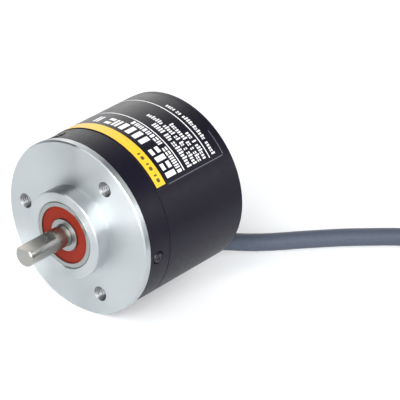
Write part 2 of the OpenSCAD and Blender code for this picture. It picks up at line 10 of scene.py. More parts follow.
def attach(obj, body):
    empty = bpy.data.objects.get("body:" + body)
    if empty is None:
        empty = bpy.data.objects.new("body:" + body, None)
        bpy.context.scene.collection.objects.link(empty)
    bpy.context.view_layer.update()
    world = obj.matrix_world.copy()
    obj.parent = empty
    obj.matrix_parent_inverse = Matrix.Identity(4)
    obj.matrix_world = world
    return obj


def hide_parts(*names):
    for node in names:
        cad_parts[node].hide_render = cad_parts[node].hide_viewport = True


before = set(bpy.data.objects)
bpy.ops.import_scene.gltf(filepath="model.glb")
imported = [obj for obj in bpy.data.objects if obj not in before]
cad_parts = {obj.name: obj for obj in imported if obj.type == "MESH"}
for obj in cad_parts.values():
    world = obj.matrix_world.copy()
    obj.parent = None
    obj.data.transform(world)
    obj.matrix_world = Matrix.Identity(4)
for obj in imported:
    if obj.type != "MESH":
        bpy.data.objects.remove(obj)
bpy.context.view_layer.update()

# The encoder lies on its side: its shaft points along -Y, its case along +Y, and +Z is up.
# Angles about the shaft's axis run from +Z towards +X. Shapes are given in millimetres and
# become metres in mesh_object().
MM = 0.001

# ---- Sizes that the pieces share, in millimetres ----
FLANGE_R, FLANGE_T, BOSS_R, BOSS_H = 25.0, 2.0, 12.5, 5.0
SPIGOT_R, SPIGOT_Y, TUBE_R, TUBE_Y = 22.2, 9.0, 12.0, 13.2
SEAT_R, SHOULDER_R, SHOULDER_Y = 9.55, 8.3, 5.8
O_RING_Y = 7.6
HOLE_PCD, HOLE_ANGLE, HOLE_DEPTH = 38.0, 34.3, 6.0
CASE_R, CASE_LEN, WALL, JOINT_Y = 24.7, 39.5, 1.5, 10.0
COLLAR_IN_R, LIP_OUT_R, LIP_IN_R, LIP_Y = 23.5, 23.45, 22.3, 3.0
CASE_SCREW_ANGLE, CASE_SCREW_Y, CASE_SCREW_R = 94.3, 5.2, 1.2
LED_SCREW_X, LED_SCREW_Z = 6.8, 16.2
STANDOFF_ANGLE, STANDOFF_AT = 64.3, 19.6
BEARING_R, BEARING_W, FRONT_Y, REAR_Y = 9.5, 6.0, -4.9, 7.0
SHAFT_R, SHAFT_REACH, SHAFT_END, FLAT_LEN, FLAT_Z = 3.0, 20.0, 20.6, 10.0, 2.0
CLIP_Y, CLIP_ROOM, CLIP_GROOVE_R = 13.1, 0.7, 2.5
LABEL_FROM, LABEL_TO, LABEL_T = -107.0, 55.0, 0.12
THIRD = 120.0
TABLE_Z = -25.0

# The slanted cable outlet: its facet is at 45 degrees to the axis.
OUTLET_ANGLE, OUTLET_W, EXIT_R, EXIT_Y = 154.3, 14.0, 15.5, 36.0
BUSHING_LEN = 4.0
JACKET_IN = 7.2
CABLE_D = 5.0

# The cable's coil.
COIL_AT = (115.0, 55.0)
COIL_WIDE, COIL_R = 3, 30.0
TIE_T, TIE_W = 0.8, 5.0
TIE_ANGLE = -90.0


def polar(angle, r, y=0.0):
    """The point at an angle about the shaft's axis, a distance from it, at y."""
    a = math.radians(angle)
    return Vector((r * math.sin(a), y, r * math.cos(a)))


EXIT_AT = polar(OUTLET_ANGLE, EXIT_R, EXIT_Y)
EXIT_DIR = (polar(OUTLET_ANGLE, 1.0) + Vector((0, 1, 0))).normalized()

# ---- Camera ----
CAMERA_AT = Vector((414.8, -422.5, 339.5)) * MM
CAMERA_AZIMUTH, CAMERA_ELEVATION = 41.283, 29.234
CAMERA_LENS = 229.9


def make_camera():
    data = bpy.data.cameras.new("camera")
    data.lens = CAMERA_LENS
    data.sensor_width = 36.0
    data.clip_start, data.clip_end = 0.05, 20.0
    camera = bpy.data.objects.new("camera", data)
    camera.location = CAMERA_AT
    camera.rotation_euler = Euler(
        (math.radians(90 - CAMERA_ELEVATION), 0, math.radians(CAMERA_AZIMUTH))
    )
    bpy.context.collection.objects.link(camera)
    bpy.context.scene.camera = camera


make_camera()

# ---- Mesh helpers ----


def finish_mesh(obj, sharp=35.0):
    """Smooth shading with sharp edges where the surface turns by more than an angle."""
    obj.data.shade_smooth()
    obj.data.set_sharp_from_angle(angle=math.radians(sharp))
    return obj


def mesh_object(name, points, faces, material, sharp=35.0):
    """A closed mesh from millimetre points, with its faces turned outwards."""
    mesh = bpy.data.meshes.new(name)
    mesh.from_pydata([Vector(p) * MM for p in points], [], faces)
    work = bmesh.new()
    work.from_mesh(mesh)
    bmesh.ops.remove_doubles(work, verts=work.verts, dist=1e-7)
    bmesh.ops.dissolve_degenerate(work, edges=work.edges, dist=1e-8)
    bmesh.ops.recalc_face_normals(work, faces=work.faces)
    work.to_mesh(mesh)
    work.free()
    obj = bpy.data.objects.new(name, mesh)
    bpy.context.collection.objects.link(obj)
    if material:
        mesh.materials.append(material)
    return finish_mesh(obj, sharp)


def rounded(outline, steps=3, support=0.07):
    """Rounds the corners of a closed outline of (r, y, rounding) points, and puts a point just
    beside each rounding so that the flats between them shade flat."""
    points = []
    count = len(outline)
    for i, (r, y, size) in enumerate(outline):
        here = Vector((r, y))
        before = Vector(outline[i - 1][:2]) - here
        after = Vector(outline[(i + 1) % count][:2]) - here
        if size <= 0 or before.length < 1e-6 or after.length < 1e-6:
            points.append(here)
            continue
        turn = before.angle(after)
        reach = min(size / math.tan(turn / 2), before.length * 0.45, after.length * 0.45)
        start, finish = here + before.normalized() * reach, here + after.normalized() * reach
        if before.length > reach * 2 + support * 3:
            points.append(start + before.normalized() * support)
        for k in range(steps + 1):
            t = k / steps
            points.append(start * (1 - t) ** 2 + here * 2 * t * (1 - t) + finish * t * t)
        if after.length > reach * 2 + support * 3:
            points.append(finish + after.normalized() * support)
    return [(p.x, p.y) for p in points]


def lathe(name, outline, material, segments=192, steps=3, place=None):
    """Turns a closed outline of (r, y, rounding) points about the Y axis."""
    profile = rounded(outline, steps)
    count = len(profile)
    points, faces = [], []
    for i in range(segments):
        for r, y in profile:
            p = polar(360.0 * i / segments, max(r, 0.0), y)
            points.append(place @ p if place else p)
    for i in range(segments):
        a, b = i * count, ((i + 1) % segments) * count
        for k in range(count):
            n = (k + 1) % count
            if profile[k][0] <= 1e-6 and profile[n][0] <= 1e-6:
                continue
            faces.append((a + k, a + n, b + n, b + k))
    return mesh_object(name, points, faces, material)


# The faces of a box whose corners are listed by x, then y, then z, low before high.
BOX_FACES = [(0, 1, 3, 2), (4, 6, 7, 5), (0, 4, 5, 1), (2, 3, 7, 6), (0, 2, 6, 4), (1, 5, 7, 3)]


def box_mesh(name, low, high, place=None):
    """A box between two corners, in millimetres, used to cut others."""
    points = [Vector(c) for c in product(*zip(low, high))]
    if place:
        points = [place @ p for p in points]
    return mesh_object(name, points, BOX_FACES, None)


def column(name, outline, place, segments=48):
    """Turns a closed outline of (r, z, rounding) points about local Z, then places it."""
    turn = Matrix.Rotation(math.radians(90), 4, "X")
    return lathe(name, outline, None, segments, place=place @ turn)


def rod_cutter(name, r, low, high, place):
    """A plain cylinder along local Z from low to high."""
    return column(name, [(0, low, 0), (r, low, 0), (r, high, 0), (0, high, 0)], place, 40)


def baked(obj):
    """Replaces an object's mesh with what its modifiers make of it."""
    graph = bpy.context.evaluated_depsgraph_get()
    mesh = bpy.data.meshes.new_from_object(obj.evaluated_get(graph))
    obj.modifiers.clear()
    obj.data = mesh
    return obj


def modified(obj):
    """Applies an object's modifiers, and keeps its flat faces looking flat."""
    finish_mesh(baked(obj))
    weigh = obj.modifiers.new("weigh", "WEIGHTED_NORMAL")
    weigh.keep_sharp = True
    weigh.weight = 100
    return baked(obj)


def cut(obj, cutters):
    """Cuts the cutters out of an object. A cutter's own material goes on what it cuts."""
    for i, cutter in enumerate(cutters):
        modifier = obj.modifiers.new(f"cut{i}", "BOOLEAN")
        modifier.operation = "DIFFERENCE"
        modifier.solver = "EXACT"
        modifier.material_mode = "TRANSFER" if cutter.data.materials else "INDEX"
        modifier.object = cutter
    modified(obj)
    for cutter in cutters:
        bpy.data.objects.remove(cutter)
    return obj


def bevel(obj, width, segments=2):
    """Rounds an object's sharp edges."""
    modifier = obj.modifiers.new("bevel", "BEVEL")
    modifier.width = width * MM
    modifier.segments = segments
    modifier.limit_method = "ANGLE"
    modifier.angle_limit = math.radians(40.0)
    modifier.harden_normals = False
    return modified(obj)


def at(angle, r=0.0, y=0.0):
    """A frame at an angle about the axis, with local +Z outwards and local +Y along the axis."""
    return Matrix.Translation(polar(angle, r, y)) @ Matrix.Rotation(math.radians(angle), 4, "Y")


def along_y(x, y, z):
    """A frame at a point, with local +Z along +Y."""
    return Matrix.Translation((x, y, z)) @ Matrix.Rotation(math.radians(-90), 4, "X")


def on_outlet(lift=0.0):
    """A frame on the outlet's facet, with local +Z along the cable."""
    return (
        at(OUTLET_ANGLE, EXIT_R, EXIT_Y)
        @ Matrix.Rotation(math.radians(-45), 4, "X")
        @ Matrix.Translation((0, 0, lift))
    )


def thirds(angle):
    return [angle + i * THIRD for i in range(3)]


def joined(name, parts, sharp=35.0):
    """Joins objects into one."""
    work = bmesh.new()
    for part in parts:
        work.from_mesh(part.data)
    mesh = bpy.data.meshes.new(name)
    work.to_mesh(mesh)
    work.free()
    mesh.materials.append(parts[0].data.materials[0])
    for part in parts:
        bpy.data.objects.remove(part)
    obj = bpy.data.objects.new(name, mesh)
    bpy.context.collection.objects.link(obj)
    return finish_mesh(obj, sharp)


def tube(name, path, r, material, sides=12, taper=None):
    """A round tube along points, closed at both ends."""
    points, faces = [], []
    side = None
    for i, p in enumerate(path):
        ahead = (path[min(i + 1, len(path) - 1)] - path[max(i - 1, 0)]).normalized()
        if side is None:
            side = ahead.cross(Vector((0.05, 0.02, 1)))
        else:
            side = side - ahead * side.dot(ahead)
        side.normalize()
        up = side.cross(ahead)
        size = r * (taper(i / (len(path) - 1)) if taper else 1.0)
        for k in range(sides):
            a = 2 * math.pi * k / sides
            points.append(p + (side * math.cos(a) + up * math.sin(a)) * size)
    for i in range(len(path) - 1):
        for k in range(sides):
            n = (k + 1) % sides
            faces.append((i * sides + k, i * sides + n, (i + 1) * sides + n, (i + 1) * sides + k))
    faces.append(tuple(range(sides)))
    faces.append(tuple((len(path) - 1) * sides + k for k in range(sides)))
    return mesh_object(name, points, faces, material, 50.0)


def through(points, step):
    """A smooth line through points, with a point about every step."""
    line = []
    ends = [points[0] * 2 - points[1], *points, points[-1] * 2 - points[-2]]
    for a, b, c, d in zip(ends, ends[1:], ends[2:], ends[3:]):
        t0 = 0.0
        t1 = t0 + max((b - a).length, 1e-9) ** 0.5
        t2 = t1 + max((c - b).length, 1e-9) ** 0.5
        t3 = t2 + max((d - c).length, 1e-9) ** 0.5
        pieces = max(2, round((c - b).length / step))
        for k in range(pieces):
            t = t1 + (t2 - t1) * k / pieces
            a1 = a * ((t1 - t) / (t1 - t0)) + b * ((t - t0) / (t1 - t0))
            a2 = b * ((t2 - t) / (t2 - t1)) + c * ((t - t1) / (t2 - t1))
            a3 = c * ((t3 - t) / (t3 - t2)) + d * ((t - t2) / (t3 - t2))
            b1 = a1 * ((t2 - t) / (t2 - t0)) + a2 * ((t - t0) / (t2 - t0))
            b2 = a2 * ((t3 - t) / (t3 - t1)) + a3 * ((t - t1) / (t3 - t1))
            line.append(b1 * ((t2 - t) / (t2 - t1)) + b2 * ((t - t1) / (t2 - t1)))
    return [*line, points[-1]]


# ---- Material helpers ----


def add(mat, kind, inputs=None, **settings):
    """A node with settings, and inputs that are values or (node, output) links."""
    tree = mat.node_tree
    made = tree.nodes.new(kind)
    for key, value in settings.items():
        setattr(made, key, value)
    for key, value in (inputs or {}).items():
        if isinstance(value, tuple) and len(value) == 2 and isinstance(value[0], bpy.types.Node):
            tree.links.new(value[0].outputs[value[1]], made.inputs[key])
        else:
            made.inputs[key].default_value = value
    return made


def shader_of(mat):
    return mat.node_tree.nodes["Principled BSDF"]


def plug(mat, source, output, socket):
    mat.node_tree.links.new(source.outputs[output], shader_of(mat).inputs[socket])


def new_material(name, colour, roughness, metallic=0.0, **fixed):
    """A Principled material; fixed gives other sockets' values by their names."""
    mat = bpy.data.materials.new(name)
    mat.use_nodes = True
    shader = shader_of(mat)
    shader.inputs["Base Color"].default_value = (*colour, 1)
    shader.inputs["Roughness"].default_value = roughness
    shader.inputs["Metallic"].default_value = metallic
    for key, value in fixed.items():
        shader.inputs[key.replace("_", " ")].default_value = value
    mat.diffuse_color = (*colour, 1)
    return mat


def object_point(mat):
    return (add(mat, "ShaderNodeTexCoord"), "Object")


def noise(mat, scale, detail):
    """Noise whose features are about 1 / scale metres across."""
    return add(
        mat, "ShaderNodeTexNoise",
        {"Vector": object_point(mat), "Scale": scale, "Detail": detail, "Roughness": 0.5},
    )


def ranged(mat, source, low, high, output="Fac", start=0.3, end=0.7):
    """Spreads a pattern's values between start and end over low to high."""
    spread = {"From Min": start, "From Max": end, "To Min": low, "To Max": high}
    return add(mat, "ShaderNodeMapRange", {"Value": (source, output), **spread})


def tint(mat, source, dark, light, output="Fac", start=0.3, end=0.7):
    """Colours a material between two colours by a pattern."""
    ramp = add(mat, "ShaderNodeValToRGB", {"Fac": (source, output)})
    for stop, place, colour in zip(ramp.color_ramp.elements, (start, end), (dark, light)):
        stop.position, stop.color = place, (*colour, 1)
    plug(mat, ramp, "Color", "Base Color")


def bump(mat, heights):
    """Bump from (source, output, strength, distance in millimetres) patterns, one on another."""
    normal = None
    for source, output, strength, distance in heights:
        inputs = {"Height": (source, output), "Strength": strength, "Distance": distance * MM}
        if normal:
            inputs["Normal"] = (normal, "Normal")
        normal = add(mat, "ShaderNodeBump", inputs)
    plug(mat, normal, "Normal", "Normal")


def shade(colour, factor):
    return tuple(min(1.0, c * factor) for c in colour)


def grained(mat, scale, depth, rough, variation=0.12):
    """Fine surface grain: roughness, colour and bump from two sizes of noise."""
    colour = tuple(shader_of(mat).inputs["Base Color"].default_value)[:3]
    coarse, small = noise(mat, scale, 4.0), noise(mat, scale * 6.0, 2.0)
    plug(mat, ranged(mat, coarse, rough[0], rough[1]), "Result", "Roughness")
    tint(mat, coarse, shade(colour, 1 - variation), shade(colour, 1 + variation))
    bump(mat, [(coarse, "Fac", 0.3, depth), (small, "Fac", 0.5, depth * 0.4)])
    return mat


def turned_lines(mat, per_mm):
    """A pattern of tool marks round the axis: it changes with distance from the axis on a face,
    and along the axis on a cylinder."""
    split = add(mat, "ShaderNodeSeparateXYZ", {"Vector": object_point(mat)})
    flat = add(mat, "ShaderNodeCombineXYZ", {"X": (split, "X"), "Z": (split, "Z")})
    radius = add(mat, "ShaderNodeVectorMath", {0: (flat, "Vector")}, operation="LENGTH")
    along = add(mat, "ShaderNodeMath", {0: (radius, "Value"), 1: (split, "Y")}, operation="ADD")
    return add(
        mat, "ShaderNodeTexNoise",
        {"W": (along, "Value"), "Scale": per_mm * 1000.0, "Detail": 3.0, "Roughness": 0.6},
        noise_dimensions="1D",
    )


def turned_metal(name, colour, rough, per_mm, depth, anisotropic):
    """Lathe-turned metal: rings of tool marks, and a highlight drawn out across them."""
    mat = new_material(
        name, colour, sum(rough) / 2, 1.0, Anisotropic=anisotropic, Anisotropic_Rotation=0.25
    )
    lines, clouds = turned_lines(mat, per_mm), noise(mat, 160.0, 3.0)
    both = add(mat, "ShaderNodeMath", {0: (lines, "Fac"), 1: (clouds, "Fac")}, operation="ADD")
    plug(mat, ranged(mat, both, rough[0], rough[1], "Value", 0.7, 1.3), "Result", "Roughness")
    tint(mat, both, shade(colour, 0.95), shade(colour, 1.05), "Value", 0.4, 0.65)
    bump(mat, [(lines, "Fac", 0.35, depth)])
    tangent = add(mat, "ShaderNodeTangent", direction_type="RADIAL", axis="Y")
    plug(mat, tangent, "Tangent", "Tangent")
    return mat


# ---- Materials ----

ALUMINIUM = turned_metal("turned_aluminium", (0.48, 0.51, 0.52), (0.32, 0.39), 10.0, 0.0015, 1.0)
BEARING_RACE = turned_metal("bearing_steel", (0.28, 0.29, 0.285), (0.24, 0.34), 20.0, 0.002, 0.4)
SHAFT_STEEL = turned_metal("shaft_steel", (0.31, 0.305, 0.285), (0.2, 0.3), 16.0, 0.003, 0.5)
# The walls of the tapped holes: the face's aluminium painted much darker, as painted shade inside
# the holes.
HOLE_PAINTED_SHADE_METAL = grained(
    new_material("tapped_aluminium_painted_shade", (0.19, 0.195, 0.2), 0.3, 1.0), 1500.0, 0.002, (0.26, 0.36)
)
COLLAR_BLACK = grained(
    new_material("collar_black", (0.008, 0.007, 0.014), 0.36, 0.0, Specular_IOR_Level=0.14),
    900.0, 0.004, (0.36, 0.46),
)
COVER_BLACK = grained(
    new_material("cover_black", (0.009, 0.008, 0.015), 0.36, 0.0, Specular_IOR_Level=0.14),
    700.0, 0.006, (0.36, 0.46),
)
LABEL_FILM = grained(
    new_material("label_film", (0.009, 0.008, 0.014), 0.34, 0.0, Specular_IOR_Level=0.17),
    500.0, 0.003, (0.32, 0.4),
)
PRINT_YELLOW, PRINT_WHITE, PRINT_DARK, PRINT_GREY = (
    grained(new_material(name, colour, 0.45), 900.0, 0.002, (0.4, 0.5), 0.05)
    for name, colour in (
        ("print_yellow", (0.86, 0.50, 0.025)), ("print_white", (0.80, 0.80, 0.81)),
        ("print_dark", (0.10, 0.075, 0.03)), ("print_grey", (0.14, 0.14, 0.16)),
    )
)
SEAL_RED = grained(
    new_material("bearing_seal", (0.17, 0.013, 0.005), 0.5, 0.0, Specular_IOR_Level=0.12),
    1200.0, 0.005, (0.45, 0.6), 0.15,
)
SCREW_BLACK = grained(
    new_material("black_screw", (0.022, 0.021, 0.026), 0.35, 0.6), 1500.0, 0.003, (0.28, 0.42)
)
JACKET = grained(
    new_material("cable_jacket", (0.066, 0.078, 0.106), 0.5, 0.0, Specular_IOR_Level=0.2),
    900.0, 0.006, (0.46, 0.58), 0.08,
)
RUBBER = grained(
    new_material("bushing_rubber", (0.02, 0.02, 0.022), 0.6), 900.0, 0.01, (0.52, 0.68)
)

# ---- The cable, first ----

# The route's points are those of the CAD source, in metres.
ROUTE = [
    (0.0093, 0.0421, -0.0184), (0.0108, 0.0455, -0.0197), (0.0126, 0.049, -0.0207),
    (0.0146, 0.0524, -0.0216), (0.0168, 0.0557, -0.0222), (0.0193, 0.0588, -0.02245),
    (0.0219, 0.0619, -0.0225), (0.0245, 0.065, -0.0225), (0.0272, 0.068, -0.0225),
    (0.0326, 0.0739, -0.0225), (0.0385, 0.0795, -0.0225), (0.0445, 0.0848, -0.0225),
    (0.05, 0.0884, -0.0225), (0.057, 0.091, -0.0225), (0.065, 0.092, -0.0225),
    (0.074, 0.0915, -0.0225), (0.084, 0.0897, -0.0225), (0.094, 0.0873, -0.0225),
    (0.104, 0.0855, -0.0225), (0.115, 0.085, -0.0225),
]
TURN_STEP = 6.0  # degrees between the points of a turn
SHIFT_FROM, SHIFT_TO = 0.54, 1.0  # the part of a turn in which it moves to the next place
CLIMB_ASIDE = 2.0  # how far a climbing turn leans away from the turns it passes
TURNS, LAYERS = 11.6, 4


def eased(t):
    t = min(max(t, 0.0), 1.0)
    return t * t * (3 - 2 * t)


def coil_place(turn):
    """The radius and layer of a turn, counted from 0 at the coil's bottom outside."""
    layer, step = divmod(turn, COIL_WIDE)
    inwards = step if layer % 2 == 0 else COIL_WIDE - 1 - step
    return COIL_R - CABLE_D * inwards, layer


def tie_lift(angle, r):
    """How far the tie under the coil lifts the turns beside it."""
    away = math.radians((angle - TIE_ANGLE + 180) % 360 - 180) * r
    return TIE_T * math.exp(-((away / 7.0) ** 2))


def coil_point(t):
    """The cable's centre after t turns, clockwise from the coil's rear side."""
    turn, part = int(t), t - int(t)
    (r0, layer0), (r1, layer1) = coil_place(turn), coil_place(turn + 1)
    moved = eased((part - SHIFT_FROM) / (SHIFT_TO - SHIFT_FROM)) if layer1 < LAYERS else 0.0
    r, layer = r0 + (r1 - r0) * moved, layer0 + (layer1 - layer0) * moved
    if layer1 != layer0:
        aside = CLIMB_ASIDE * math.sin(math.pi * moved) ** 0.75
        r += aside if r0 == COIL_R else -aside
    angle = 90.0 - 360.0 * t
    z = TABLE_Z + CABLE_D * (layer + 0.5) + tie_lift(angle, r)
    a = math.radians(angle)
    return Vector((COIL_AT[0] + r * math.cos(a), COIL_AT[1] + r * math.sin(a), z))


def cable_line():
    lead = [EXIT_AT + EXIT_DIR * s for s in (-JACKET_IN, 0.0, BUSHING_LEN, BUSHING_LEN + 1.0)]
    lead += [Vector(p) / MM for p in ROUTE]
    count = round(TURNS * 360 / TURN_STEP)
    return through(lead, 2.0) + [coil_point(k * TURN_STEP / 360) for k in range(1, count + 1)]


def make_cable():
    line = cable_line()
    data = bpy.data.curves.new("cable", "CURVE")
    data.dimensions = "3D"
    data.bevel_depth = CABLE_D / 2 * MM
    data.bevel_resolution = 6
    data.use_fill_caps = True
    spline = data.splines.new("POLY")
    spline.points.add(len(line) - 1)
    for point, place in zip(spline.points, line):
        point.co = (*(place * MM), 1.0)
    spline.use_smooth = True
    cable = bpy.data.objects.new("cable", data)
    bpy.context.collection.objects.link(cable)
    data.materials.append(JACKET)
    return cable, line


cable, cable_path = make_cable()
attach(cable, "housing")
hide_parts("cable_jacket_end", "cable_tube", "cable_coil")

# ---- The stripped cores at the cable's end, and the tie ----

CORE_R, CORE_GAP, TIP_R = 0.45, 0.9, 0.26
CORES = {
    "brown": (0.12, 0.035, 0.012), "black": (0.012, 0.012, 0.013), "white": (0.75, 0.75, 0.73),
    "orange": (0.75, 0.16, 0.015), "blue": (0.02, 0.08, 0.4),
}
COPPER = turned_metal("tinned_copper", (0.72, 0.66, 0.6), (0.25, 0.4), 8.0, 0.02, 0.0)


def core_material(colour_name):
    plain = new_material(f"core_{colour_name}", CORES[colour_name], 0.35)
    return grained(plain, 1500.0, 0.003, (0.3, 0.42), 0.06)


CORE_MATERIALS = {key: core_material(key) for key in CORES}


def end_cores():
    """The cores leave the jacket's end, rise over the coil's top turns and lie across them."""
    end, before = cable_path[-1], cable_path[-3]
    ahead = (end - before).normalized()
    side = ahead.cross(Vector((0, 0, 1))).normalized()
    top = TABLE_Z + LAYERS * CABLE_D + CORE_R + 0.05
    pieces = []
    for i, key in enumerate(CORES):
        spread = i - 2
        start = end - ahead * 0.5 + side * spread * CORE_GAP
        rise = Vector((end.x + 1.5 + spread * CORE_GAP, end.y + 8.5 - spread * 0.3, top))
        path = through([
            start, start + ahead * 3.0 + Vector((0, 0, 1.4)), rise,
            rise + Vector((2.2 + spread * CORE_GAP, 9.0, 0)),
            rise + Vector((4.2 + spread * 2.2, 17.0, 0)),
        ], 1.0)
        core = tube(f"end_core_{key}", path, CORE_R, CORE_MATERIALS[key], 12)
        onward = (path[-1] - path[-2]).normalized()
        tip_path = [path[-1] + onward * s for s in (-0.5, 1.5, 3.5, 5.5)]
        tip = tube(f"end_tip_{key}", tip_path, TIP_R, COPPER, 10, lambda t: 1.0 - 0.15 * t * t)
        pieces += [core, tip]
    return pieces


end_pieces = end_cores()
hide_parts("cable_end_cores")
for piece in end_pieces:
    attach(piece, "housing")

NYLON = grained(new_material("tie_nylon", (0.014, 0.014, 0.015), 0.4), 900.0, 0.006, (0.34, 0.5))


def strap_point(t, half_w, half_h, corner):
    """A point and outward direction at t of the way round a rounded rectangle."""
    straight = [2 * (half_h - corner), 2 * (half_w - corner)] * 2
    arc_len = math.pi / 2 * corner
    s = t * (sum(straight) + 4 * arc_len)
    corners = [
        (half_w - corner, half_h - corner), (-half_w + corner, half_h - corner),
        (-half_w + corner, -half_h + corner), (half_w - corner, -half_h + corner),
    ]
    for k in range(4):
        out = Vector((math.cos(math.pi / 2 * k), math.sin(math.pi / 2 * k)))
        along = Vector((-out.y, out.x))
        if s <= straight[k]:
            return Vector(corners[k]) + out * corner - along * (straight[k] - s), out
        s -= straight[k]
        if s <= arc_len:
            a = math.pi / 2 * k + s / corner
            out = Vector((math.cos(a), math.sin(a)))
            return Vector(corners[k]) + out * corner, out
        s -= arc_len
    return strap_point(0.0, half_w, half_h, corner)


def make_tie():
    """A nylon cable tie round the coil's bundle of turns, with its ratchet head outside."""
    r_in, r_out = COIL_R - CABLE_D * (COIL_WIDE - 1) - CABLE_D / 2, COIL_R + CABLE_D / 2
    low, high = TABLE_Z, TABLE_Z + LAYERS * CABLE_D + 2 * TIE_T
    half_w, half_h = (r_out - r_in) / 2 + TIE_T, (high - low) / 2
    middle = Vector(((r_in + r_out) / 2, (low + high) / 2))
    steps = 96
    points, faces = [], []
    edge = TIE_W / 2
    rings = [(-edge, 0.12), (-edge + 0.3, 0.0), (edge - 0.3, 0.0), (edge, 0.12)]
    for i in range(steps):
        p, out = strap_point(i / steps, half_w, half_h, CABLE_D / 2 + TIE_T)
        tooth = 0.12 * (i % 2)
        for w, shrink in rings:
            q = middle + p - out * shrink
            points.append((q.x, w, q.y))
        for w, shrink in reversed(rings):
            q = middle + p - out * (TIE_T - 0.16 - shrink + tooth * (abs(w) < edge - 0.2))
            points.append((q.x, w, q.y))
    count = 2 * len(rings)
    for i in range(steps):
        a, b = i * count, ((i + 1) % steps) * count
        faces += [(a + k, a + (k + 1) % count, b + (k + 1) % count, b + k) for k in range(count)]
    turn = Matrix.Translation((*COIL_AT, 0)) @ Matrix.Rotation(math.radians(TIE_ANGLE), 4, "Z")
    strap = mesh_object("strap", [turn @ Vector(p) for p in points], faces, NYLON, 40.0)
    head = box_mesh(
        "head", (r_out + 0.2 - 3.2, -3.4, high - TIE_T), (r_out - 0.2, 3.4, high + 1.6), turn
    )
    head.data.materials.append(NYLON)
    bevel(head, 0.5, 3)
    tail = box_mesh(
        "tail", (r_out - 8.5, -edge, high + 0.1), (r_out - 0.6, edge, high + 0.7), turn
    )
    tail.data.materials.append(NYLON)
    bevel(tail, 0.2, 2)
    return joined("coil_tie_strap", [strap, head, tail], 40.0)


tie = make_tie()
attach(tie, "housing")
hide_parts("coil_tie")

# ---- Flange housing ----

THREAD_PITCH, THREAD_MINOR_R, THREAD_MAJOR_R, HOLE_SINK = 0.7, 1.66, 2.0, 0.15


def tapped_hole(name, place):
    """A cutter for a tapped blind hole along local Z, with a countersunk mouth."""
    r_major, depth, sink = THREAD_MAJOR_R, HOLE_DEPTH, HOLE_SINK
    sides, rows_per_turn = 36, 9
    rows = round((depth + 0.5) / THREAD_PITCH * rows_per_turn)
    points, faces = [], []
    for j in range(rows + 1):
        z = -0.5 + (depth + 0.5) * j / rows
        for k in range(sides):
            phase = (z / THREAD_PITCH - k / sides) % 1.0
            ridge = min(1.0, max(0.0, 1.25 - abs(2 * phase - 1) * 1.5))
            r = r_major - (r_major - THREAD_MINOR_R) * ridge
            r = max(r, r_major + sink - z) if z < sink + r_major - THREAD_MINOR_R else r
            a = 2 * math.pi * k / sides
            points.append(place @ Vector((r * math.cos(a), r * math.sin(a), z)))
    points.append(place @ Vector((0, 0, -0.5)))
    points.append(place @ Vector((0, 0, depth + 0.9)))
    for j in range(rows):
        for k in range(sides):
            n = (k + 1) % sides
            faces.append((j * sides + k, j * sides + n, (j + 1) * sides + n, (j + 1) * sides + k))
    for k in range(sides):
        n = (k + 1) % sides
        faces.append((len(points) - 2, n, k))
        faces.append((len(points) - 1, rows * sides + k, rows * sides + n))
    # This dark material goes on the hole's walls and paints shade into the hole.
    return mesh_object(name, points, faces, HOLE_PAINTED_SHADE_METAL)


def make_flange():
    groove_r, groove_low, groove_high = SPIGOT_R - 0.9, O_RING_Y - 0.6, O_RING_Y + 0.6
    outline = [
        (SEAT_R, FRONT_Y + BEARING_W, 0), (SEAT_R, -BOSS_H + 0.25, 0.05),
        (SEAT_R + 0.25, -BOSS_H, 0.05),
        (BOSS_R - 0.3, -BOSS_H, 0.08), (BOSS_R, -BOSS_H + 0.3, 0.08), (BOSS_R, 0, 0.12),
        (FLANGE_R - 0.35, 0, 0.06), (FLANGE_R, 0.35, 0.1), (FLANGE_R, FLANGE_T, 0.08),
        (SPIGOT_R, FLANGE_T, 0), (SPIGOT_R, groove_low, 0.05), (groove_r, groove_low, 0.05),
        (groove_r, groove_high, 0.05), (SPIGOT_R, groove_high, 0.05),
        (SPIGOT_R, SPIGOT_Y, 0.2), (TUBE_R, SPIGOT_Y, 0.2), (TUBE_R, TUBE_Y, 0.3),
        (SEAT_R, TUBE_Y, 0.1), (SEAT_R, SHOULDER_Y, 0.05), (SHOULDER_R, SHOULDER_Y, 0.1),
        (SHOULDER_R, FRONT_Y + BEARING_W, 0.1),
    ]
    flange = lathe("flange_body", outline, ALUMINIUM, 240)
    cutters = [
        tapped_hole(f"tap{i}", along_y(*polar(a, HOLE_PCD / 2)))
        for i, a in enumerate(thirds(HOLE_ANGLE))
    ]
    for a in thirds(CASE_SCREW_ANGLE):
        place = at(a, 0, CASE_SCREW_Y)
        cutters.append(rod_cutter("screw_hole", CASE_SCREW_R + 0.02, 18.6, 24.0, place))
    past = SPIGOT_Y + 0.5
    for a in thirds(STANDOFF_ANGLE):
        place = along_y(*polar(a, STANDOFF_AT))
        cutters.append(rod_cutter("stud_hole", 1.27, SPIGOT_Y - 4.1, past, place))
    for x in (-LED_SCREW_X, LED_SCREW_X):
        place = along_y(x, 0, LED_SCREW_Z)
        cutters.append(rod_cutter("led_hole", 1.02, SPIGOT_Y - 3.6, past, place))
    return cut(flange, cutters)


flange = make_flange()
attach(flange, "housing")
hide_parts("flange_housing")

# ---- Collar, rear cover and case screws ----


def make_collar():
    low, high = FLANGE_T + 0.05, JOINT_Y - 0.15
    outline = [
        (COLLAR_IN_R, low, 0.05), (CASE_R, low, 0.15), (CASE_R, high, 0.2),
        (COLLAR_IN_R, high, 0.05),
    ]
    collar = lathe("collar_shell", outline, COLLAR_BLACK, 240)
    seat = [(0, 20, 0), (1.85, 20, 0), (1.85, 24.55, 0), (2.1, 25.2, 0), (0, 25.2, 0)]
    cutters = [column("seat", seat, at(a, 0, CASE_SCREW_Y)) for a in thirds(CASE_SCREW_ANGLE)]
    return cut(collar, cutters)


collar = make_collar()
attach(collar, "housing")
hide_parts("front_collar")


